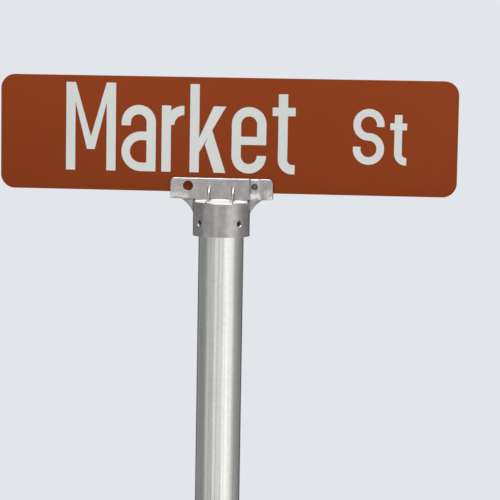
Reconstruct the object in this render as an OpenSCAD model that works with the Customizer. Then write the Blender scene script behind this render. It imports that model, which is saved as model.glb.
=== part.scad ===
// Street-name signpost: a flat two-sided blade held by a cast cap bracket on a round steel post.
// +X runs along the blade, the front faces -Y, +Z is up. The origin is the middle of the post's foot.

/* [Post] */
// Outside diameter of the steel post
post_od = 60.3; // [50:0.1:75]
// Wall thickness of the post
post_wall = 2.4; // [1.5:0.1:4]
// Length of the post from its foot to the end under the cap
post_l = 3048; // [1500:1:4000]

/* [Bracket cap] */
// Radial room between the post and the cap's socket, taken up by the set screws
socket_gap = 0.8; // [0.3:0.1:2]
// Vertical room between the end of the post and the roof of the socket
seat_gap = 0.05; // [0.02:0.01:0.5]
// Wall thickness of the cap round the post
cap_wall = 7.1; // [5:0.1:10]
// Thickness of the cap's roof
cap_roof = 7; // [4:0.5:12]
// Overall height of the cap
cap_h = 48.6; // [40:0.1:80]
// Radius of the cap's shoulder
shoulder_r = 2.5; // [1:0.5:4]
// How far the cap's roof falls from its middle to the shoulder
roof_fall = 2.8; // [0.5:0.1:4]

/* [Blade holder] */
// Length of the holder along the blade
holder_l = 137; // [110:1:200]
// Height of the holder above the cap's roof
holder_h = 28.6; // [25:0.1:45]
// Thickness of each flange of the holder
flange_t = 5.6; // [4:0.1:9]
// Solid metal under the slot
slot_floor = 8.9; // [6:0.1:12]
// Radius of the holder's upper corners, seen from the front
corner_r = 7; // [3:0.5:10]
// Radius along the flanges' upper edges
edge_r = 2.5; // [0.5:0.5:3.5]
// Distance of the cross holes and blade screws from the middle of the holder
cross_x = 44.6; // [35:0.1:50]
// Depth of the cross holes and blade screws below the top of the holder
cross_drop = 11.2; // [9:0.1:13]
// Diameter of the plain cross hole opposite each blade screw
cross_d = 13.3; // [10:0.1:15]

/* [Bosses and webs] */
// Width of the screw boss where it leaves the flange
boss_base = 14.6; // [13:0.1:18]
// Width of the screw boss at its crown
boss_crown = 9.4; // [9:0.1:13]
// How far the screw boss stands out of the flange
boss_out = 2.5; // [1.5:0.1:4]
// Distance of each gusset from the middle of the holder
gusset_x = 16; // [10:0.5:24]
// Thickness of a gusset
gusset_t = 2.6; // [2:0.1:4]
// Height of a gusset up the flange
gusset_h = 18.6; // [12:0.1:20]
// Radius of a gusset's hollow edge
gusset_r = 26; // [22:1:40]
// Thickness of the webs under the holder's ends
web_t = 4; // [3:0.5:8]
// Reach of those webs along the holder
web_reach = 17; // [8:0.2:18]
// Height of those webs down the cap
web_h = 18; // [8:0.2:18]
// Radius of those webs' hollow edge
web_r = 34; // [16:1:60]

/* [Set screws] */
// Thread diameter of the set screws
screw_d = 7.94; // [6:0.01:8]
// Length of a set screw
screw_l = 6.35; // [6:0.05:12]
// Width of the hexagon socket across its flats
socket_af = 3.97; // [3:0.01:4]
// Depth of the hexagon socket
socket_depth = 3.2; // [2:0.1:3.5]
// Depth of the cup in a screw's tip
cup_depth = 1; // [0.5:0.1:1.5]
// Chamfer at both ends of a set screw
screw_chamfer = 0.6; // [0.3:0.1:1]
// Radial room between a set screw and its tapped hole
thread_gap = 0.05; // [0.02:0.01:0.1]
// Room between a screw's tip and what it bears on
tip_gap = 0.03; // [0.01:0.01:0.2]
// Depth of the cap screws below the cap's shoulder
cap_screw_drop = 30.5; // [20:0.5:34]

/* [Blade] */
// Length of the blade
blade_l = 609.6; // [450:0.1:915]
// Height of the blade
blade_h = 152.4; // [150:0.1:230]
// Thickness of the blade's aluminium
blade_t = 3.18; // [2:0.01:3.2]
// Radius of the blade's corners
blade_r = 19; // [10:1:38]
// Room between the faced blade and each flange
blade_gap = 0.49; // [0.2:0.01:1.5]
// Room between the blade and the floor of its slot
blade_lift = 0.02; // [0.01:0.01:0.1]
// How far the blade sits to the right of the bracket's middle
blade_shift = 6; // [-40:1:40]
// Thickness of the coloured film on each face
film_t = 0.3; // [0.1:0.05:0.5]

/* [Legend] */
// Thickness of the cut letters
letter_t = 0.25; // [0.1:0.05:0.5]
// Height of the big word's capital
cap_height = 117; // [80:1:120]
// Height of the big word's small letters
x_height = 88; // [60:1:92]
// Width of the big word's strokes
stroke = 12.4; // [8:0.1:14]
// Space between two letters of the big word
spacing = 7.9; // [5:0.1:12]
// Height of the big word's foot above the blade's lower edge
word_z = 26; // [20:1:30]
// Left end of the big word from the middle of the blade
word_x = -216.3; // [-240:0.1:-200]
// Height of the suffix's capital
suffix_cap = 73.5; // [50:0.5:76]
// Width of the suffix's strokes
suffix_stroke = 10; // [7:0.1:11]
// Space between the suffix's two letters
suffix_spacing = 7.6; // [5:0.1:10]
// Height of the suffix's foot above the blade's lower edge
suffix_z = 41; // [30:1:45]
// Left end of the suffix from the middle of the blade
suffix_x = 167.2; // [150:0.1:180]

/* [Hidden] */
$fn = 96;
eps = 0.01;
post_r = post_od / 2;
socket_r = post_r + socket_gap;
cap_r = socket_r + cap_wall;
roof_z = post_l + seat_gap;
cap_top = roof_z + cap_roof;
cap_bottom = cap_top - cap_h;
slot_w = blade_t + 2 * (film_t + blade_gap);
holder_w = slot_w + 2 * flange_t;
face_y = holder_w / 2;
boss_y = face_y + boss_out;
slot_z = cap_top + slot_floor;
cross_z = cap_top + holder_h - cross_drop;
cap_screw_z = cap_top - cap_screw_drop;
tapped_r = screw_d / 2 + thread_gap;
blade_z = slot_z + blade_lift;
film_y = blade_t / 2;
faced_y = film_y + film_t;
gusset_reach = sqrt(pow(cap_r - shoulder_r, 2) - pow(gusset_x, 2)) - face_y;
web_tip = 0.6;
cap_root = roof_fall + 1;

CAP_SCREWS = [["front_left", -135], ["front_right", -45], ["rear_right", 45], ["rear_left", 135]];
BLADE_SCREWS = [["front", 0], ["rear", 180]];
SIDES = [["front", 0], ["rear", 180]];
WORD = ["m", "a", "r", "k", "e", "t"];
WORD_W = [67, 46, 30, 48, 46, 30.5];
SUFFIX = ["s", "t"];
SUFFIX_W = [41, 22];

// ---------- general shapes ----------

// Sum of the first n values of a list
function sum_to(v, n) = n == 0 ? 0 : v[n - 1] + sum_to(v, n - 1);

// A plate outline standing on its base, with both upper corners round
module round_top(w, h, r) {
    translate([-w / 2, 0]) square([w, h - r]);
    translate([-w / 2 + r, 0]) square([w - 2 * r, h]);
    for (s = [-1, 1]) translate([s * (w / 2 - r), h - r]) circle(r);
}

// A rectangle from the origin with all four corners round
module round_rect(w, h, r) {
    translate([r, 0]) square([w - 2 * r, h]);
    translate([0, r]) square([w, h - 2 * r]);
    for (x = [r, w - r]) for (y = [r, h - r]) translate([x, y]) circle(r);
}

// A web in a corner: one leg along x, one along y, and a hollow edge of radius r between their tips
module web_outline(leg_x, leg_y, r) {
    p = [web_tip, leg_y];
    q = [leg_x, web_tip];
    half = norm(q - p) / 2;
    rise = sqrt(r * r - half * half);
    centre = (p + q) / 2 + rise * [p[1] - q[1], q[0] - p[0]] / (2 * half);
    difference() {
        square([leg_x, leg_y]);
        translate(centre) circle(r);
        polygon([p, q, [leg_x + eps, web_tip], [leg_x + eps, leg_y + eps], [web_tip, leg_y + eps]]);
    }
}

// A solid drawn in the plane of the blade, y up, standing t thick behind the front face at y = -front
module upright(front, t) {
    translate([0, t - front, 0]) rotate([90, 0, 0]) linear_extrude(t) children();
}

// ---------- post ----------

module post() {
    color("gainsboro") difference() {
        cylinder(r = post_r, h = post_l);
        translate([0, 0, -1]) cylinder(r = post_r - post_wall, h = post_l + 2);
    }
}

// ---------- bracket ----------

// A thick disc with a low cone for its roof and a round shoulder
module cap_body() {
    translate([0, 0, cap_bottom]) rotate_extrude() {
        polygon([
            [0, 0], [cap_r, 0], [cap_r, cap_h - roof_fall - shoulder_r],
            [cap_r - shoulder_r, cap_h - roof_fall], [0, cap_h]
        ]);
        translate([cap_r - shoulder_r, cap_h - roof_fall - shoulder_r]) circle(shoulder_r);
    }
}

// The metal between the cap's falling roof and the flat underside of the holder
module saddle() {
    translate([0, 0, cap_top - cap_root]) intersection() {
        cylinder(r = cap_r - shoulder_r, h = cap_root);
        translate([-cap_r, -face_y, 0]) cube([2 * cap_r, holder_w, cap_root]);
    }
}

module holder_body() {
    translate([0, 0, cap_top]) intersection() {
        upright(face_y, holder_w) round_top(holder_l, holder_h, corner_r);
        rotate([90, 0, 90]) linear_extrude(holder_l, center = true) round_top(holder_w, holder_h, edge_r);
    }
}

module screw_boss() {
    translate([cross_x, 0, cap_top]) intersection() {
        linear_extrude(holder_h) polygon([
            [-boss_base / 2, -face_y], [-boss_crown / 2, -boss_y],
            [boss_crown / 2, -boss_y], [boss_base / 2, -face_y],
            [boss_base / 2, -slot_w / 2], [-boss_base / 2, -slot_w / 2]
        ]);
        rotate([90, 0, 90]) linear_extrude(boss_base, center = true)
            round_top(2 * boss_y, holder_h, edge_r + 1);
    }
}

module gusset(x) {
    translate([x, -face_y, cap_top]) rotate([90, 0, -90]) translate([0, 0, -gusset_t / 2])
        linear_extrude(gusset_t) {
            web_outline(gusset_reach, gusset_h, gusset_r);
            translate([-1, -cap_root]) square([1 + web_tip, cap_root + gusset_h]);
            translate([-1, -cap_root]) square([1 + gusset_reach, cap_root + web_tip]);
        }
}

module end_web() {
    translate([cap_r, 0, cap_top]) rotate([-90, 0, 0]) translate([0, 0, -web_t / 2])
        linear_extrude(web_t) {
            web_outline(web_reach, web_h, web_r);
            translate([-2, -1]) square([2 + web_tip, 1 + web_h]);
            translate([-2, -1]) square([2 + web_reach, 1 + web_tip]);
        }
}

module tapped_hole(from, to) {
    rotate([0, 90, 0]) translate([0, 0, from]) cylinder(r = tapped_r, h = to - from);
}

// Everything that the casting has once on each face, turned half round for the rear
module bracket_half() {
    screw_boss();
    for (s = [-1, 1]) gusset(s * gusset_x);
    end_web();
}

module bracket_cuts() {
    translate([0, 0, cap_bottom - 1]) cylinder(r = socket_r, h = roof_z - cap_bottom + 1);
    translate([-holder_l, -slot_w / 2, slot_z]) cube([2 * holder_l, slot_w, holder_h]);
    for (s = BLADE_SCREWS) rotate([0, 0, s[1]]) translate([0, 0, cross_z]) {
        translate([cross_x, 0, 0]) rotate([0, 0, -90]) tapped_hole(0, boss_y + 1);
        translate([-cross_x, 0, 0]) rotate([90, 0, 0]) cylinder(d = cross_d, h = face_y + 1);
    }
    for (s = CAP_SCREWS)
        translate([0, 0, cap_screw_z]) rotate([0, 0, s[1]]) tapped_hole(post_r - 1, cap_r + 1);
}

module bracket() {
    color("darkgray") difference() {
        union() {
            cap_body();
            saddle();
            holder_body();
            for (turn = [0, 180]) rotate([0, 0, turn]) bracket_half();
        }
        bracket_cuts();
    }
}

// ---------- set screws ----------

// A cup-point set screw with its tip at the origin and its socket facing +X
module set_screw() {
    r = screw_d / 2;
    color("dimgray") rotate([0, 90, 0]) difference() {
        union() {
            cylinder(r1 = r - screw_chamfer, r2 = r, h = screw_chamfer);
            translate([0, 0, screw_chamfer]) cylinder(r = r, h = screw_l - 2 * screw_chamfer);
            translate([0, 0, screw_l - screw_chamfer])
                cylinder(r1 = r, r2 = r - screw_chamfer, h = screw_chamfer);
        }
        translate([0, 0, screw_l - socket_depth])
            cylinder(d = socket_af / cos(30), h = socket_depth + 1, $fn = 6);
        translate([0, 0, -eps]) cylinder(r1 = r - screw_chamfer - 0.4, r2 = 0.4, h = cup_depth);
    }
}

module cap_screw(angle) {
    translate([0, 0, cap_screw_z]) rotate([0, 0, angle]) translate([post_r + tip_gap, 0, 0]) set_screw();
}

module blade_screw(turn) {
    rotate([0, 0, turn]) translate([cross_x, -faced_y - tip_gap, cross_z]) rotate([0, 0, -90]) set_screw();
}

// ---------- blade ----------

module blade_outline() {
    translate([blade_shift - blade_l / 2, blade_z]) round_rect(blade_l, blade_h, blade_r);
}

module sign_blade() {
    color("silver") upright(film_y, blade_t) blade_outline();
}

module film(turn) {
    color("saddlebrown") upright(turn == 0 ? faced_y : -film_y, film_t) blade_outline();
}

// ---------- legend ----------

// An upright oval of two half circles joined by straight sides, standing on y = 0
module oval(w, h) {
    r = w / 2;
    translate([0, r]) square([w, h - w]);
    for (y = [r, h - r]) translate([r, y]) circle(r);
}

// A ring of stroke s round such an oval
module oval_ring(w, h, s) {
    difference() {
        oval(w, h);
        translate([s, s]) oval(w - 2 * s, h - 2 * s);
    }
}

// A quarter ring of outer radius r and stroke s, centred on the origin, in the quadrant [qx, qy]
module quarter(r, s, qx, qy) {
    intersection() {
        difference() {
            circle(r);
            circle(r - s);
        }
        translate([qx < 0 ? -r : 0, qy < 0 ? -r : 0]) square(r);
    }
}

module letter_m(w, h, s) {
    foot = h * 0.24;
    tip = s * 0.42;
    polygon([
        [0, 0], [s, 0], [s, h - s * 2.1], [w / 2 - tip, foot], [w / 2 + tip, foot],
        [w - s, h - s * 2.1], [w - s, 0], [w, 0], [w, h], [w - s * 1.02, h],
        [w / 2, foot + s * 1.35], [s * 1.02, h], [0, h]
    ]);
}

module letter_a(w, h, s) {
    bowl = h * 0.6;
    r = bowl / 2;
    thin = s * 0.92;
    translate([w - s, 0]) square([s, h - w / 2]);
    translate([w / 2, h - w / 2]) {
        quarter(w / 2, s, -1, 1);
        quarter(w / 2, s, 1, 1);
        translate([-w / 2, -s * 0.35]) square([s, s * 0.35]);
    }
    intersection() {
        square([w - s / 2, bowl]);
        difference() {
            union() {
                translate([r, r]) circle(r);
                translate([r, 0]) square([w, bowl]);
            }
            translate([r, r]) circle(r - thin);
            translate([r, thin]) square([w, bowl - 2 * thin]);
        }
    }
}

module letter_r(w, h, s) {
    square([s, h]);
    translate([w, h - w + s * 0.35]) quarter(w - s * 0.35, s, -1, 1);
}

module letter_k(w, h, xh, s) {
    square([s, h]);
    low = xh * 0.3;
    polygon([[s - eps, low], [w, xh], [w - s * 1.35, xh], [s - eps, low + s * 1.55]]);
    polygon([[w - s * 1.25, 0], [w, 0], [s * 2.35, xh * 0.66], [s * 1.62, xh * 0.42]]);
}

module letter_e(w, h, s) {
    bar = h * 0.43;
    difference() {
        oval_ring(w, h, s);
        translate([w / 2, bar - s * 1.15]) square([w, s * 1.15]);
    }
    translate([s - eps, bar]) square([w - 1.2 * s + eps, s * 0.88]);
}

module letter_t(w, xh, s) {
    r = s * 1.55;
    stem = w * 0.26;
    translate([stem, r]) square([s, xh * 1.2 - r]);
    translate([0, xh - s * 0.9]) square([w, s * 0.9]);
    translate([stem + r, r]) quarter(r, s, -1, -1);
    translate([stem + r, 0]) square([w - stem - r, s]);
}

module letter_s(w, h, s) {
    r = w / 2;
    drop = h / 2 + s / 2 - w;
    translate([r, h - r]) {
        quarter(r, s, 1, 1);
        quarter(r, s, -1, 1);
        translate([0, -drop]) quarter(r, s, -1, -1);
        translate([-r, -drop]) square([s, drop]);
        translate([r - s, -s * 0.3]) square([s, s * 0.3]);
    }
    translate([r, r]) {
        quarter(r, s, 1, -1);
        quarter(r, s, -1, -1);
        translate([0, drop]) quarter(r, s, 1, 1);
        translate([r - s, 0]) square([s, drop]);
        translate([-r, 0]) square([s, s * 0.3]);
    }
}

module glyph(name, w, caps, xh, s) {
    if (name == "m") letter_m(w, caps, s);
    if (name == "a") letter_a(w, xh, s);
    if (name == "r") letter_r(w, xh, s);
    if (name == "k") letter_k(w, caps, xh, s);
    if (name == "e") letter_e(w, xh, s);
    if (name == "t") letter_t(w, xh, s);
    if (name == "s") letter_s(w, caps, s);
}

// Both faces read alike, so the rear legend is turned half round about the blade's own middle
module on_face(turn) {
    translate([blade_shift, 0, blade_z]) rotate([0, 0, turn]) upright(faced_y + letter_t, letter_t) children();
}

module word_letter(i, turn) {
    color("white") on_face(turn) translate([word_x + sum_to(WORD_W, i) + i * spacing, word_z])
        glyph(WORD[i], WORD_W[i], cap_height, x_height, stroke);
}

module suffix_letter(i, turn) {
    color("white") on_face(turn)
        translate([suffix_x + sum_to(SUFFIX_W, i) + i * suffix_spacing, suffix_z])
            glyph(SUFFIX[i], SUFFIX_W[i], suffix_cap, suffix_cap * x_height / cap_height, suffix_stroke);
}

// ---------- assembly ----------

post();
bracket();
sign_blade();
for (s = CAP_SCREWS) cap_screw(s[1]);
for (s = BLADE_SCREWS) blade_screw(s[1]);
for (s = SIDES) film(s[1]);
for (s = SIDES) for (i = [0:len(WORD) - 1])
    word_letter(i, s[1]);
for (s = SIDES) for (i = [0:len(SUFFIX) - 1])
    suffix_letter(i, s[1]);
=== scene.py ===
"""The looks of the street-name signpost: its steel post, cast cap bracket, set screws and faced blade."""

import math

import bmesh
import bpy
import numpy as np
from mathutils import Matrix, Vector, noise


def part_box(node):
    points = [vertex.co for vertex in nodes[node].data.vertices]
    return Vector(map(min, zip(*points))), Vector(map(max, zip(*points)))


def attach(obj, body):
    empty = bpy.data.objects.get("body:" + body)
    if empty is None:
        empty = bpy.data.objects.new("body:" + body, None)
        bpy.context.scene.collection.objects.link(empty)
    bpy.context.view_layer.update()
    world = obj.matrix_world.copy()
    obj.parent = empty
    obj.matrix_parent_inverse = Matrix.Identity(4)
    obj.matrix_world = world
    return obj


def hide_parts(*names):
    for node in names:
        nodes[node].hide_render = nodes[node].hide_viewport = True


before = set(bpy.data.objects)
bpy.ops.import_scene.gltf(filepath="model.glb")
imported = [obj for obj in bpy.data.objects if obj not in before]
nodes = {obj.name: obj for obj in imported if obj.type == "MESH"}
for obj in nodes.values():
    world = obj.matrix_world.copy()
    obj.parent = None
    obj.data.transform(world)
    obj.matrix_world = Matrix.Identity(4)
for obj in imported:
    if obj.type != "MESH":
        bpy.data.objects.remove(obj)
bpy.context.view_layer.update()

# ---------------------------------------------------------------- sizes

MM = 0.001
post_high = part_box("post")[1]
bracket_low, bracket_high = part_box("bracket")
blade_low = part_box("sign_blade")[0]
film_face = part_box("film_rear")[1].y
screw_low, screw_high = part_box("blade_screw_front")
screw_length = screw_high.y - screw_low.y
SCREW_NAMES = sorted(name for name in nodes if "_screw_" in name)

post_radius = post_high.x
post_top = post_high.z
POST_WALL = 2.4 * MM
POST_RIM = 0.6 * MM

cap_radius = bracket_high.y
SOCKET_RADIUS = post_radius + 0.8 * MM
SOCKET_ROOF = post_top + 0.05 * MM
SLOT_HALF = film_face + 0.49 * MM
SLOT_FLOOR = blade_low.z - 0.02 * MM
HOLDER_LOW = SLOT_FLOOR - 8.9 * MM
HOLDER_FACE = SLOT_HALF + 5.6 * MM
BOSS_FACE = HOLDER_FACE + 2.5 * MM
CROSS_RADIUS = 6.65 * MM
TAPPED_RADIUS = 4.02 * MM
CORNER_RADIUS = 19 * MM

THREAD_PITCH = 1.411 * MM
THREAD_DEPTH = 0.7 * MM
SCREW_RADIUS = 3.95 * MM
SCREW_CHAMFER = 0.8 * MM
KEY_ACROSS = 3.97 * MM
KEY_DEPTH = 3.2 * MM
CUP_RADIUS = 2.7 * MM
CUP_DEPTH = 1.2 * MM

VOXEL = 0.75 * MM       # the casting's remesh
PLUG = 0.8 * MM         # how far a plug overlaps the metal round the hole that it fills
TEAR = 0.6 * MM         # how far a cutter runs past the face that it breaks through
SPARE = 4 * MM          # extra casting under the cap, which the lower end's cut takes off
WIDE = 0.2              # wider than the bracket both ways


# ---------------------------------------------------------------- materials

class Value:
    """A material's socket, on which sums can be written."""

    def __init__(self, finish, socket):
        self.finish = finish
        self.socket = socket

    def sum_with(self, operation, first, second):
        return self.finish.node("Math", {"operation": operation}, {0: first, 1: second})

    def __add__(self, other):
        return self.sum_with("ADD", self, other)

    def __radd__(self, other):
        return self.sum_with("ADD", other, self)

    def __sub__(self, other):
        return self.sum_with("SUBTRACT", self, other)

    def __rsub__(self, other):
        return self.sum_with("SUBTRACT", other, self)

    def __mul__(self, other):
        return self.sum_with("MULTIPLY", self, other)

    def __rmul__(self, other):
        return self.sum_with("MULTIPLY", other, self)


class Finish:
    """One material: its nodes, and the shader that they feed."""

    def __init__(self, name, **fixed):
        self.material = bpy.data.materials.new(name)
        self.material.use_nodes = True
        self.tree = self.material.node_tree
        self.shader = self.tree.nodes["Principled BSDF"]
        for socket, value in fixed.items():
            self.shader.inputs[socket.replace("_", " ")].default_value = value
        self.place = self.node("TexCoord", output="Object")

    def node(self, kind, settings=None, inputs=None, output=0):
        """Adds a node, with its settings first and then its inputs, and gives one of its outputs."""
        made = self.tree.nodes.new("ShaderNode" + kind)
        for name, value in (settings or {}).items():
            if name == "stops":
                self.set_stops(made.color_ramp.elements, value)
            else:
                setattr(made, name, value)
        for name, value in (inputs or {}).items():
            self.feed(made.inputs[name], value)
        return Value(self, made.outputs[output])

    def set_stops(self, elements, stops):
        while len(elements) < len(stops):
            elements.new(1)
        for element, (position, colour) in zip(elements, stops):
            element.position = position
            element.color = colour

    def feed(self, socket, value):
        if isinstance(value, Value):
            self.tree.links.new(value.socket, socket)
        else:
            socket.default_value = value

    def ends_in(self, **inputs):
        for name, value in inputs.items():
            self.feed(self.shader.inputs[name.replace("_", " ")], value)
        return self.material

    def stretched(self, scale):
        """The place on the piece, scaled by so much along each axis."""
        return self.node("Mapping", None, {"Vector": self.place, "Scale": scale}, "Vector")

    def cloud(self, scale, detail=3, rough=0.5, place=None, twist=0):
        """Soft noise from 0 to 1, with so many waves to a metre."""
        inputs = {"Vector": place or self.place, "Scale": scale, "Detail": detail,
                  "Roughness": rough, "Distortion": twist}
        return self.node("TexNoise", None, inputs)

    def cells(self, scale, output="Distance"):
        return self.node("TexVoronoi", None, {"Vector": self.place, "Scale": scale}, output)

    def ramp(self, value, *stops):
        return self.node("ValToRGB", {"stops": stops}, {"Fac": value}, "Color")

    def band(self, value, low, high, start=0, end=1):
        """value brought from low..high to start..end, and held there."""
        inputs = {"Value": value, "From Min": low, "From Max": high, "To Min": start, "To Max": end}
        return self.node("MapRange", {"clamp": True}, inputs, "Result")

    def blend(self, share, first, second):
        return self.node("Mix", {"data_type": "RGBA"}, {0: share, 6: first, 7: second}, 2)

    def bump(self, height, depth, normal=None):
        inputs = {"Height": height, "Distance": depth}
        if normal:
            inputs["Normal"] = normal
        return self.node("Bump", None, inputs, "Normal")


def shade(red, green, blue):
    """A colour from its 0..255 screen values."""
    def linear(level):
        level /= 255
        return level / 12.92 if level <= 0.04045 else ((level + 0.055) / 1.055) ** 2.4
    return (linear(red), linear(green), linear(blue), 1)


def galvanised_steel():
    """Drawn tube, dipped in zinc: lengthwise streaks, faint spangle and dull blotches."""
    made = Finish("galvanised_steel", Metallic=1.0)
    streak = made.cloud(95, 5, 0.7, made.stretched((1, 1, 0.003)))
    fine = made.cloud(520, 3, 0.6, made.stretched((1, 1, 0.008)))
    flake = made.node("SeparateColor", None, {"Color": made.cells(300, "Color")})
    blotch = made.cloud(22, 5, 0.6, made.stretched((1, 1, 0.25)), 0.6)
    scuff = made.cloud(120, 5, 0.7, made.stretched((1, 1, 0.12)))
    dull = made.band(blotch, 0.58, 0.78) * 0.4 + made.band(scuff, 0.66, 0.84) * 0.4
    level = 0.52 * streak + 0.30 * fine + 0.03 * flake + 0.15 * blotch
    colour = made.ramp(level, (0.38, shade(184, 186, 180)), (0.47, shade(218, 219, 213)),
                       (0.53, shade(229, 230, 224)), (0.62, shade(249, 249, 244)))
    colour = made.blend(dull * 0.5, colour, shade(156, 158, 148))
    rough = made.band(0.5 * fine + 0.5 * blotch, 0.3, 0.7, 0.12, 0.19) + 0.10 * dull
    grooves = made.bump(0.7 * streak + 0.3 * fine, 0.10 * MM)
    grain = made.bump(made.cloud(1500, 2), 0.004 * MM, grooves)
    return made.ends_in(Base_Color=colour, Roughness=rough, Normal=grain)


def cast_aluminium():
    """As-cast alloy: mottled and pitted, with painted shade in its corners, worn edges lightened with a
    painted highlight, and white painted highlights on the cap's roof and along the holder's lower edge.
    """
    made = Finish("cast_aluminium")
    hollow = made.node("Attribute", {"attribute_name": "hollow"}, None, "Fac")
    roof = made.node("Attribute", {"attribute_name": "roof"}, None, "Fac")
    mottle = made.cloud(90, 6, 0.62, None, 0.4)
    patch = made.cloud(34, 3, 0.5, None, 0.8)
    grit = made.cloud(900, 3, 0.6)
    pit = made.band(made.cells(520), 0.0, 0.26, 1, 0) * made.band(mottle, 0.5, 0.6)
    # painted shade: the casting's colour is darkened in its corners and creases, where shade falls
    corner = made.band(hollow, 0.55, 0.85)
    # worn edges and a painted highlight: the casting's convex edges are lightened
    edge = made.band(hollow, 0.44, 0.15)
    level = 0.5 * mottle + 0.3 * patch + 0.2 * grit
    colour = made.ramp(level, (0.34, shade(160, 155, 153)), (0.5, shade(179, 174, 173)),
                       (0.66, shade(200, 196, 196)))
    colour = made.blend(corner * 0.6, colour, shade(92, 89, 85))
    colour = made.blend(edge * 0.2, colour, shade(232, 230, 228))
    colour = made.blend(pit * 0.6, colour, shade(112, 109, 105))
    # painted highlight: the cap's roof is painted white for the sky it reflects, and pale patches on the
    # holder's face stand for glints of light
    painted_highlight = roof * made.band(grit, 0.25, 0.5) + painted_glints(made, patch, mottle)
    colour = made.blend(painted_highlight, colour, shade(250, 250, 250))
    metal = made.band(painted_highlight, 0, 1, 0.88, 0.18)
    rough = made.band(0.6 * mottle + 0.4 * grit, 0.3, 0.7, 0.18, 0.30) + 0.3 * painted_highlight
    swell = made.bump(patch, 0.4 * MM)
    skin = made.bump(0.7 * grit + 0.3 * mottle, 0.04 * MM, swell)
    dimples = made.bump(1 - pit, 0.08 * MM, skin)
    return made.ends_in(Base_Color=colour, Metallic=metal, Roughness=rough, Normal=dimples)


def painted_glints(made, patch, mottle):
    """Painted highlights along the holder's lower edge, standing for glints of light on its uneven cast
    face: at its ends and under its front screw.
    """
    # painted highlight: pale patches where light glints off the holder's face
    along = made.node("SeparateXYZ", None, {"Vector": made.place}, "X") + 14 * MM * (patch - 0.5)
    height = made.node("SeparateXYZ", None, {"Vector": made.place}, "Z") + 16 * MM * (mottle - 0.5)
    above = height - HOLDER_LOW
    left = made.band(along, -47 * MM, -40 * MM, 1, 0) * made.band(above, 6 * MM, 11 * MM, 1, 0)
    right = made.band(along, 55 * MM, 61 * MM) * made.band(above, 9 * MM, 17 * MM, 1, 0)
    under = (made.band(along, 37 * MM, 40 * MM) * made.band(along, 49 * MM, 52 * MM, 1, 0)
             * made.band(above, 7 * MM, 12 * MM, 1, 0))
    on_holder = made.band(above, -2 * MM, 1 * MM)
    return on_holder * (0.6 * left + 0.6 * right + 0.75 * under) * made.band(mottle, 0.38, 0.54)


def faced_film(name, colour, pale, worn):
    """Retroreflective sheeting: glass beads under a clear face, with a little dust and fading."""
    made = Finish(name, Metallic=0.0, Coat_Roughness=0.25, Specular_IOR_Level=0.1)
    beads = made.cells(1600)
    fade = made.cloud(5, 4, 0.5)
    dust = made.cloud(160, 5, 0.7, made.stretched((1, 1, 0.4)))
    run = made.cloud(70, 3, 0.6, made.stretched((1, 1, 0.07)))
    tone = made.blend(made.band(fade, 0.3, 0.7, 0, 0.5), colour, pale)
    tone = made.blend(made.band(beads, 0.2, 0.7, 0.16, 0), tone, pale)
    tone = made.blend(made.band(dust, 0.56, 0.8, 0, 0.25) + made.band(run, 0.6, 0.85, 0, 0.2), tone, worn)
    rough = made.band(dust, 0.3, 0.8, 0.40, 0.55)
    return made.ends_in(Base_Color=tone, Roughness=rough, Coat_Weight=made.band(dust, 0.4, 0.8, 0.04, 0.0),
                        Normal=made.bump(beads, 0.01 * MM))


def blade_aluminium():
    """Rolled sheet, milled at its edge, with a fine grain along the blade."""
    made = Finish("blade_aluminium", Metallic=1.0)
    grain = made.cloud(700, 4, 0.6, made.stretched((0.03, 1, 1)))
    stain = made.cloud(60, 4, 0.6)
    colour = made.ramp(0.6 * grain + 0.4 * stain, (0.3, shade(168, 168, 168)), (0.7, shade(208, 208, 207)))
    rough = made.band(grain, 0.3, 0.7, 0.28, 0.45)
    return made.ends_in(Base_Color=colour, Roughness=rough, Normal=made.bump(grain, 0.03 * MM))


def screw_steel():
    """Plain steel set screws, coloured dark in uneven patches as painted shade of the holes they sit in,
    with turning marks.
    """
    made = Finish("screw_steel", Metallic=1.0)
    marks = made.cloud(1800, 3, 0.6)
    shade_patches = made.cloud(420, 4, 0.6)
    # painted shade: the screws are coloured dark, in uneven patches, for the shade inside the holes that
    # hold them
    colour = made.ramp(shade_patches, (0.35, shade(70, 66, 60)), (0.5, shade(112, 109, 104)),
                       (0.7, shade(150, 148, 144)))
    rough = made.band(marks, 0.3, 0.7, 0.16, 0.34) + made.band(shade_patches, 0.5, 0.35, 0, 0.2)
    return made.ends_in(Base_Color=colour, Roughness=rough, Normal=made.bump(marks, 0.01 * MM))


# ---------------------------------------------------------------- mesh work

def finished(name, work, smooth_angle=35):
    """Turns a bmesh into an object, smooth but for the edges sharper than the angle."""
    mesh = bpy.data.meshes.new(name)
    work.to_mesh(mesh)
    work.free()
    made = bpy.data.objects.new(name, mesh)
    bpy.context.scene.collection.objects.link(made)
    shade_round(mesh, smooth_angle)
    return made


def shade_round(mesh, smooth_angle):
    mesh.polygons.foreach_set("use_smooth", [True] * len(mesh.polygons))
    mesh.set_sharp_from_angle(angle=math.radians(smooth_angle))


def painted(made, material):
    """Gives the whole piece one material."""
    made.data.materials.clear()
    made.data.materials.append(material)
    made.data.polygons.foreach_set("material_index", [0] * len(made.data.polygons))
    return made


def changed(made, kind, **settings):
    """Applies one modifier to an object's mesh."""
    step = made.modifiers.new(kind, kind)
    for name, value in settings.items():
        setattr(step, name, value)
    shaped = made.evaluated_get(bpy.context.evaluated_depsgraph_get())
    mesh = bpy.data.meshes.new_from_object(shaped)
    made.modifiers.clear()
    old, made.data = made.data, mesh
    bpy.data.meshes.remove(old)
    return made


def cut_by(made, cutter, operation="DIFFERENCE"):
    """Cuts one closed piece by another, or keeps what both hold, and drops the cutter."""
    changed(made, "BOOLEAN", operation=operation, solver="MANIFOLD", object=cutter)
    bpy.data.objects.remove(cutter)
    return made


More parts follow.
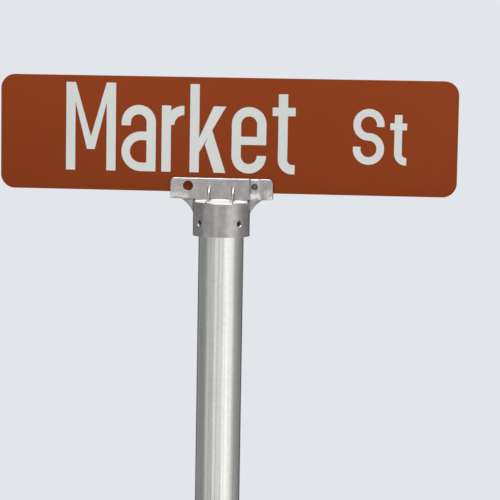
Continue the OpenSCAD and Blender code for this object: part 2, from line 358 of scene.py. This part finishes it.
def turned(work, profile, steps):
    """Spins an outline of (radius, height) points, lowest first and running outside, round the Z axis."""
    corners = [work.verts.new((radius, 0, height)) for radius, height in profile]
    edges = [work.edges.new(pair) for pair in zip(corners, corners[1:])]
    bmesh.ops.spin(work, geom=corners + edges, cent=(0, 0, 0), axis=(0, 0, 1), angle=2 * math.pi,
                   steps=steps, use_merge=True, use_duplicate=False)
    bmesh.ops.remove_doubles(work, verts=work.verts, dist=2e-6)
    bmesh.ops.recalc_face_normals(work, faces=work.faces)
    return work


def drum(work, radius, low, high, sides, place=Matrix(), far_radius=None):
    """A closed cylinder or cone along the place's Z axis, from low to high."""
    far_radius = radius if far_radius is None else far_radius
    middle = place @ Matrix.Translation((0, 0, (low + high) / 2))
    bmesh.ops.create_cone(work, cap_ends=True, segments=sides, radius1=radius, radius2=far_radius,
                          depth=high - low, matrix=middle)


def tool(work, place=Matrix()):
    """A cutter, brought to its place."""
    bmesh.ops.transform(work, matrix=place, verts=work.verts)
    bmesh.ops.recalc_face_normals(work, faces=work.faces)
    return finished("cutter", work)


def placed(piece, body, slot, *stands_for):
    """The frame's calls for a finished piece."""
    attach(piece, body)
    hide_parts(*stands_for)
    return piece


def screw_place(name):
    """Where a set screw's outer end is, with +Z pointing out of the bracket."""
    low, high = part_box(name)
    middle = (low + high) / 2
    out = Vector((0 if name.startswith("blade") else math.copysign(1, middle.x),
                  math.copysign(1, middle.y), 0)).normalized()
    return facing(middle + out * screw_length / 2, out)


def facing(spot, out):
    """A place at spot whose +Z points along out."""
    return Matrix.Translation(spot) @ out.to_track_quat("Z", "Y").to_matrix().to_4x4()


# ---------------------------------------------------------------- set screws

def threaded_rod(crest, root, low, high, sides=40):
    """A closed thread along Z: a V groove spun with a rise of one pitch a turn, cut flat at both ends."""
    work = bmesh.new()
    turns = math.ceil((high - low) / THREAD_PITCH) + 3
    start = low - (1.5 + 0.4 / sides) * THREAD_PITCH
    groove = ((crest, 0), (crest, 0.12), (root, 0.5), (root, 0.62), (crest, 1))
    corners = [work.verts.new((radius, 0, start + rise * THREAD_PITCH)) for radius, rise in groove]
    edges = [work.edges.new(pair) for pair in zip(corners, corners[1:])]
    bmesh.ops.spin(work, geom=corners + edges, cent=(0, 0, 0), axis=(0, 0, 1), angle=turns * 2 * math.pi,
                   dvec=(0, 0, THREAD_PITCH / sides), steps=turns * sides, use_duplicate=False)
    bmesh.ops.remove_doubles(work, verts=work.verts, dist=2e-6)
    for height, side in ((low, -1), (high, 1)):
        bmesh.ops.bisect_plane(work, geom=work.verts[:] + work.edges[:] + work.faces[:], dist=1e-8,
                               plane_co=(0, 0, height), plane_no=(0, 0, side), clear_outer=True)
        rim = [edge for edge in work.edges
               if edge.is_boundary and all(abs(v.co.z - height) < 1e-7 for v in edge.verts)]
        bmesh.ops.holes_fill(work, edges=rim, sides=0)
    bmesh.ops.triangulate(work, faces=[face for face in work.faces if len(face.verts) > 4])
    bmesh.ops.recalc_face_normals(work, faces=work.faces)
    return work


def set_screw(material):
    """A cup-point set screw, its outer end at the origin and its tip down -Z."""
    tip = -screw_length
    past = 0.2 * MM
    rod = finished("set_screw", threaded_rod(SCREW_RADIUS, SCREW_RADIUS - THREAD_DEPTH, tip, 0))
    end_radius = SCREW_RADIUS - SCREW_CHAMFER
    blank = [(0, tip), (end_radius, tip), (SCREW_RADIUS, tip + SCREW_CHAMFER),
             (SCREW_RADIUS, -SCREW_CHAMFER), (end_radius, 0), (0, 0)]
    cut_by(rod, tool(turned(bmesh.new(), blank, 48)), "INTERSECT")
    corner = KEY_ACROSS / 2 / math.cos(math.pi / 6)
    key = bmesh.new()
    drum(key, corner, -KEY_DEPTH, past, 6)
    cut_by(rod, tool(key))
    lead = bmesh.new()
    drum(lead, KEY_ACROSS / 2, -0.35 * MM, past, 36, Matrix(), corner + 0.15 * MM)
    cut_by(rod, tool(lead))
    drilled_top = -KEY_DEPTH + 0.1 * MM
    drilled = [(0, drilled_top - 1 * MM), (KEY_ACROSS / 2 - 0.1 * MM, drilled_top), (0, drilled_top)]
    cut_by(rod, tool(turned(bmesh.new(), drilled, 30)))
    cup = [(0, tip - past), (CUP_RADIUS, tip - past), (0, tip - past + CUP_DEPTH)]
    cut_by(rod, tool(turned(bmesh.new(), cup, 36)))
    shade_round(rod.data, 30)
    return painted(rod, material)


def make_set_screws(material):
    pattern = set_screw(material)
    for count, name in enumerate(SCREW_NAMES):
        screw = bpy.data.objects.new(name + "_threaded", pattern.data.copy())
        screw.data.transform(screw_place(name) @ Matrix.Rotation(0.9 * count, 4, "Z"))
        bpy.context.scene.collection.objects.link(screw)
        placed(screw, name, "set_screws", name)
    bpy.data.objects.remove(pattern)


# ---------------------------------------------------------------- post

def make_post(material):
    """The drawn tube: rounded rims, and a wall that wavers by a few hundredths along its length."""
    rings = 120
    outer, inner = post_radius, post_radius - POST_WALL
    stretch = post_top - 2 * POST_RIM
    wall = [(outer, POST_RIM + stretch * step / rings) for step in range(rings + 1)]
    profile = [(inner, POST_RIM), (inner + POST_RIM, 0), (outer - POST_RIM, 0), *wall,
               (outer - POST_RIM, post_top), (inner + POST_RIM, post_top), (inner, post_top - POST_RIM),
               (inner, POST_RIM)]
    work = turned(bmesh.new(), profile, 128)
    for vertex in work.verts:
        around = Vector((vertex.co.x, vertex.co.y, 0))
        if around.length > outer - POST_RIM / 2:
            waver = noise.noise(Vector((vertex.co.x * 26, vertex.co.y * 26, vertex.co.z * 5)))
            vertex.co -= around.normalized() * (0.05 + 0.05 * waver) * MM
    post = painted(finished("post_tube", work), material)
    return placed(post, "post", "galvanised_post", "post")


# ---------------------------------------------------------------- cast bracket

def make_bracket(material):
    """The casting: one soft skin over everything cast, then each machined cut."""
    bracket = casting()
    for cutter in machined_cuts():
        cut_by(bracket, cutter)
    mark_skin(bracket.data)
    shade_round(bracket.data, 32)
    return placed(painted(bracket, material), "bracket", "cast_bracket", "bracket")


def casting():
    """The frame's bracket with its holes filled, remeshed, softened and given a cast skin."""
    work = bmesh.new()
    work.from_mesh(nodes["bracket"].data)
    bmesh.ops.remove_doubles(work, verts=work.verts, dist=1e-6)
    drum(work, SOCKET_RADIUS + PLUG, bracket_low.z, SOCKET_ROOF + PLUG, 96)
    drum(work, cap_radius, bracket_low.z - SPARE, bracket_low.z + SPARE, 128)
    for name in SCREW_NAMES:
        place = screw_place(name)
        spot = place.translation
        if name.startswith("blade"):
            face = abs(spot.y)
            drum(work, TAPPED_RADIUS + PLUG / 2, SLOT_HALF - face, BOSS_FACE - face, 24, place)
            drum(work, CROSS_RADIUS + PLUG, SLOT_HALF, HOLDER_FACE, 40, across(spot))
        else:
            mouth = cap_radius - spot.xy.length - 0.3 * MM
            drum(work, TAPPED_RADIUS + PLUG / 2, -screw_length, mouth, 24, place)
    bmesh.ops.recalc_face_normals(work, faces=work.faces)
    blank = finished("bracket_casting", work)
    changed(blank, "REMESH", mode="VOXEL", voxel_size=VOXEL, adaptivity=0.0)
    give_cast_skin(blank.data)
    return blank


def give_cast_skin(mesh):
    """Rounds every edge by about a voxel, then draws the skin in unevenly, by up to 0.2 mm."""
    work = bmesh.new()
    work.from_mesh(mesh)
    for _ in range(5):
        bmesh.ops.smooth_vert(work, verts=work.verts, factor=0.5,
                              use_axis_x=True, use_axis_y=True, use_axis_z=True)
    work.normal_update()
    for vertex in work.verts:
        wide = noise.noise(vertex.co * 70)
        close = noise.noise(vertex.co * 330 + Vector((3, 5, 7)))
        vertex.co -= vertex.normal * (0.09 + 0.08 * wide + 0.03 * close) * MM
    work.to_mesh(mesh)
    work.free()


def across(spot):
    """The middle plane of the holder across from a blade screw, pointing out of the other face."""
    out = Vector((0, -math.copysign(1, spot.y), 0))
    return facing(Vector((spot.x, 0, spot.z)), out)


def machined_cuts():
    """A cutter for each machined cut: the cap's lower end, its socket, the slot's floor and every hole."""
    lead = 0.7 * MM
    past = 2 * MM
    low = bracket_low.z
    yield block((WIDE, WIDE, 2 * SPARE), (0, 0, low - SPARE))
    socket = [(0, low - past), (SOCKET_RADIUS + lead + past, low - past), (SOCKET_RADIUS, low + lead),
              (SOCKET_RADIUS, SOCKET_ROOF), (0, SOCKET_ROOF)]
    yield tool(turned(bmesh.new(), socket, 128))
    depth = 1.6 * MM
    width = 2 * (SLOT_HALF - 0.05 * MM)
    yield block((WIDE, width, depth), (0, 0, SLOT_FLOOR - 0.15 * MM + depth / 2))
    for name in SCREW_NAMES:
        place = screw_place(name)
        spot = place.translation
        if name.startswith("blade"):
            yield from tapped_hole(place, SLOT_HALF - abs(spot.y) - TEAR, BOSS_FACE - abs(spot.y))
            yield from plain_hole(across(spot))
        else:
            out = spot.xy.length
            yield from tapped_hole(place, SOCKET_RADIUS - out - TEAR, cap_radius - out)


def block(size, middle):
    """A square-cornered cutter."""
    work = bmesh.new()
    bmesh.ops.create_cube(work, size=1, matrix=Matrix.LocRotScale(Vector(middle), None, Vector(size)))
    return tool(work)


def tapped_hole(place, low, mouth):
    """The thread, and the countersink at its mouth."""
    yield tool(threaded_rod(TAPPED_RADIUS + 0.45 * MM, TAPPED_RADIUS, low, mouth + 1.5 * MM, 36), place)
    sink = bmesh.new()
    depth = 0.6 * MM
    wide_end = TAPPED_RADIUS + 1.1 * MM
    drum(sink, TAPPED_RADIUS - 0.1 * MM, mouth - depth, mouth + depth, 48, place, wide_end)
    yield tool(sink)


def plain_hole(place):
    """A drilled hole through one flange, its edge just broken."""
    burr = 0.4 * MM
    profile = [(0, SLOT_HALF - TEAR), (CROSS_RADIUS, SLOT_HALF - TEAR), (CROSS_RADIUS, HOLDER_FACE - burr),
               (CROSS_RADIUS + 2 * burr, HOLDER_FACE + burr), (0, HOLDER_FACE + burr)]
    yield tool(turned(bmesh.new(), profile, 64), place)


def mark_skin(mesh):
    """Marks the cap's roof, where the material paints a white highlight, and how the skin bends: 0.5 on a
    flat, more in a corner, less on an edge, which sets the painted corner shade and edge highlight.
    """
    count = len(mesh.vertices)
    points, outward = np.empty(count * 3), np.empty(count * 3)
    mesh.vertices.foreach_get("co", points)
    mesh.vertices.foreach_get("normal", outward)
    points, outward = points.reshape(-1, 3), outward.reshape(-1, 3)
    ends = np.empty(len(mesh.edges) * 2, int)
    mesh.edges.foreach_get("vertices", ends)
    first, second = ends.reshape(-1, 2).T
    share = np.maximum(np.bincount(ends, minlength=count), 1)

    def mean_around(values):
        total = np.bincount(first, values[second], count) + np.bincount(second, values[first], count)
        return total / share

    spread = np.linalg.norm(points[first] - points[second], axis=1) ** 2
    reach = (np.bincount(first, spread, count) + np.bincount(second, spread, count)) / share
    around = np.stack([mean_around(points[:, axis]) for axis in range(3)], 1)
    bend = 2 * ((around - points) * outward).sum(1) / np.maximum(reach, (0.2 * VOXEL) ** 2)
    level = np.clip(0.5 + 0.9 * MM * bend, 0, 1)
    for _ in range(3):
        level = 0.5 * level + 0.5 * mean_around(level)
    across_roof = np.hypot(points[:, 0], points[:, 1]) < cap_radius - 0.3 * MM
    # the roof's upward faces, where the material paints a white highlight
    roof = across_roof & (outward[:, 2] > 0.8) & (points[:, 2] < HOLDER_LOW + 0.6 * MM)
    for name, values in (("hollow", level), ("roof", roof)):
        mark = mesh.attributes.new(name, "FLOAT", "POINT")
        mark.data.foreach_set("value", values.astype(np.float32))


# ---------------------------------------------------------------- blade

def make_plate(name, node, edge, material, slot):
    """A plate with the blade's round corners, from a node's own box, with its rim softened."""
    low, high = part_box(node)
    size, middle = high - low, (high + low) / 2
    work = bmesh.new()
    bmesh.ops.create_grid(work, x_segments=1, y_segments=1, size=0.5)
    bmesh.ops.scale(work, vec=(size.x, size.z, 1), verts=work.verts)
    bmesh.ops.bevel(work, geom=work.verts[:], offset=CORNER_RADIUS, offset_type="OFFSET", affect="VERTICES",
                    segments=20, profile=0.5, material=-1)
    risen = bmesh.ops.extrude_face_region(work, geom=work.faces[:])["geom"]
    bmesh.ops.translate(work, vec=(0, 0, size.y),
                        verts=[part for part in risen if isinstance(part, bmesh.types.BMVert)])
    bmesh.ops.recalc_face_normals(work, faces=work.faces)
    rims = [side for side in work.edges if abs(side.verts[0].co.z - side.verts[1].co.z) < 1e-9]
    bmesh.ops.bevel(work, geom=rims, offset=edge, offset_type="OFFSET", affect="EDGES", segments=3,
                    profile=0.5, material=-1)
    place = Matrix.Translation((middle.x, high.y, middle.z)) @ Matrix.Rotation(math.pi / 2, 4, "X")
    bmesh.ops.transform(work, matrix=place, verts=work.verts)
    plate = painted(finished(name, work), material)
    return placed(plate, "blade", slot, node)


def make_blade():
    make_plate("blade_plate", "sign_blade", 0.25 * MM, blade_aluminium(), "blade_sheet")
    brown = faced_film("brown_sheeting", shade(132, 54, 15), shade(136, 59, 22), shade(118, 56, 29))
    for side in ("front", "rear"):
        make_plate("face_" + side, "film_" + side, 0.08 * MM, brown, "brown_film")
    white = faced_film("white_sheeting", shade(207, 209, 206), shade(215, 217, 214), shade(188, 186, 180))
    for name, node in nodes.items():
        if "_letter_" in name or "_suffix_" in name:
            node.material_slots[0].material = white


# ---------------------------------------------------------------- stage, lights and camera

HEAD = Vector((0.039, 0, post_top - 0.0603))
PANEL_DISTANCE = 6.4
FLOOR_RADIUS = 6


def direction(azimuth, elevation):
    """From the object towards a place round it: 0 is in front of it, 90 on its right."""
    turn, rise = math.radians(azimuth), math.radians(elevation)
    return Vector((math.sin(turn) * math.cos(rise), -math.cos(turn) * math.cos(rise), math.sin(rise)))


def make_camera(azimuth, elevation, distance, roll, lens):
    made = bpy.data.objects.new("camera", bpy.data.cameras.new("camera"))
    bpy.context.scene.collection.objects.link(made)
    made.data.lens = lens
    made.data.clip_end = 100
    away = direction(azimuth, elevation)
    turn = away.to_track_quat("Z", "Y") @ Matrix.Rotation(math.radians(roll), 3, "Z").to_quaternion()
    made.matrix_world = Matrix.LocRotScale(HEAD + away * distance, turn, None)
    bpy.context.scene.camera = made


def make_softbox(name, azimuths, elevations, radiance):
    """A flat light that fills so many degrees round the sign, from side to side and from low to high."""
    away = direction(sum(azimuths) / 2, sum(elevations) / 2)
    width, height = (2 * PANEL_DISTANCE * math.tan(math.radians(high - low) / 2)
                     for low, high in (azimuths, elevations))
    light = bpy.data.lights.new(name, "AREA")
    light.shape = "RECTANGLE"
    light.size, light.size_y = width, height
    light.energy = radiance * math.pi * width * height
    made = bpy.data.objects.new(name, light)
    bpy.context.scene.collection.objects.link(made)
    made.matrix_world = Matrix.LocRotScale(HEAD + away * PANEL_DISTANCE, away.to_track_quat("Z", "Y"), None)
    made.visible_camera = False


def make_floor():
    """A pale round floor that fades out before the panels, so that it has no edge."""
    work = bmesh.new()
    bmesh.ops.create_circle(work, cap_ends=True, segments=96, radius=FLOOR_RADIUS)
    floor = finished("floor", work)
    made = Finish("pale_floor", Roughness=0.9, Specular_IOR_Level=0.2)
    reach = made.node("VectorMath", {"operation": "LENGTH"}, {0: made.place}, "Value")
    grain = made.cloud(3, 3)
    tone = made.ramp(grain, (0.3, shade(224, 227, 230)), (0.7, shade(228, 231, 233)))
    floor.data.materials.append(made.ends_in(Base_Color=tone, Alpha=made.band(reach, 1.2, 5.8, 1, 0)))


def make_world():
    """A pale backdrop where the camera sees past everything, and a dim surround for the metal to reflect."""
    world = bpy.data.worlds.new("studio")
    world.use_nodes = True
    bpy.context.scene.world = world
    tree = world.node_tree
    backing = tree.nodes["Background"]
    seen = tree.nodes.new("ShaderNodeBackground")
    path = tree.nodes.new("ShaderNodeLightPath")
    mix = tree.nodes.new("ShaderNodeMixShader")
    backing.inputs["Color"].default_value = (0.13, 0.133, 0.135, 1)
    seen.inputs["Color"].default_value = shade(226, 230, 234)
    tree.links.new(path.outputs["Is Camera Ray"], mix.inputs[0])
    tree.links.new(backing.outputs[0], mix.inputs[1])
    tree.links.new(seen.outputs[0], mix.inputs[2])
    tree.links.new(mix.outputs[0], tree.nodes["World Output"].inputs[0])


def make_lights():
    """A ring of soft panels round the sign, brightest to its right, one behind it and one overhead."""
    round_about = (-26, 38)
    # each from one azimuth to another in degrees, its elevations, and how bright it looks
    panels = {
        "far_left": (-140, -72, round_about, 0.17),
        "left": (-72, -24, round_about, 0.46),
        "front_strip": (-24, -8, round_about, 0.74),
        "front": (-8, 22, round_about, 0.56),
        "key_edge": (22, 36, round_about, 0.90),
        "key": (36, 56, round_about, 1.08),
        "key_falling": (56, 66, round_about, 0.96),
        "right_bright": (66, 78, round_about, 0.74),
        "right_middle": (78, 92, round_about, 0.43),
        "right_dim": (92, 112, round_about, 0.24),
        "far_right": (112, 145, round_about, 0.16),
        "rear": (145, 215, (30, 70), 1.8),
        "overhead": (-25, 35, (48, 84), 4.6),
    }
    for name, (start, end, elevations, radiance) in panels.items():
        make_softbox(name, (start, end), elevations, radiance)


make_camera(azimuth=5.2, elevation=5.7, distance=2.46, roll=0.97, lens=132.7)
bpy.context.scene.view_settings.view_transform = "Standard"
make_floor()
make_world()
make_lights()
make_set_screws(screw_steel())
make_post(galvanised_steel())
make_bracket(cast_aluminium())
make_blade()
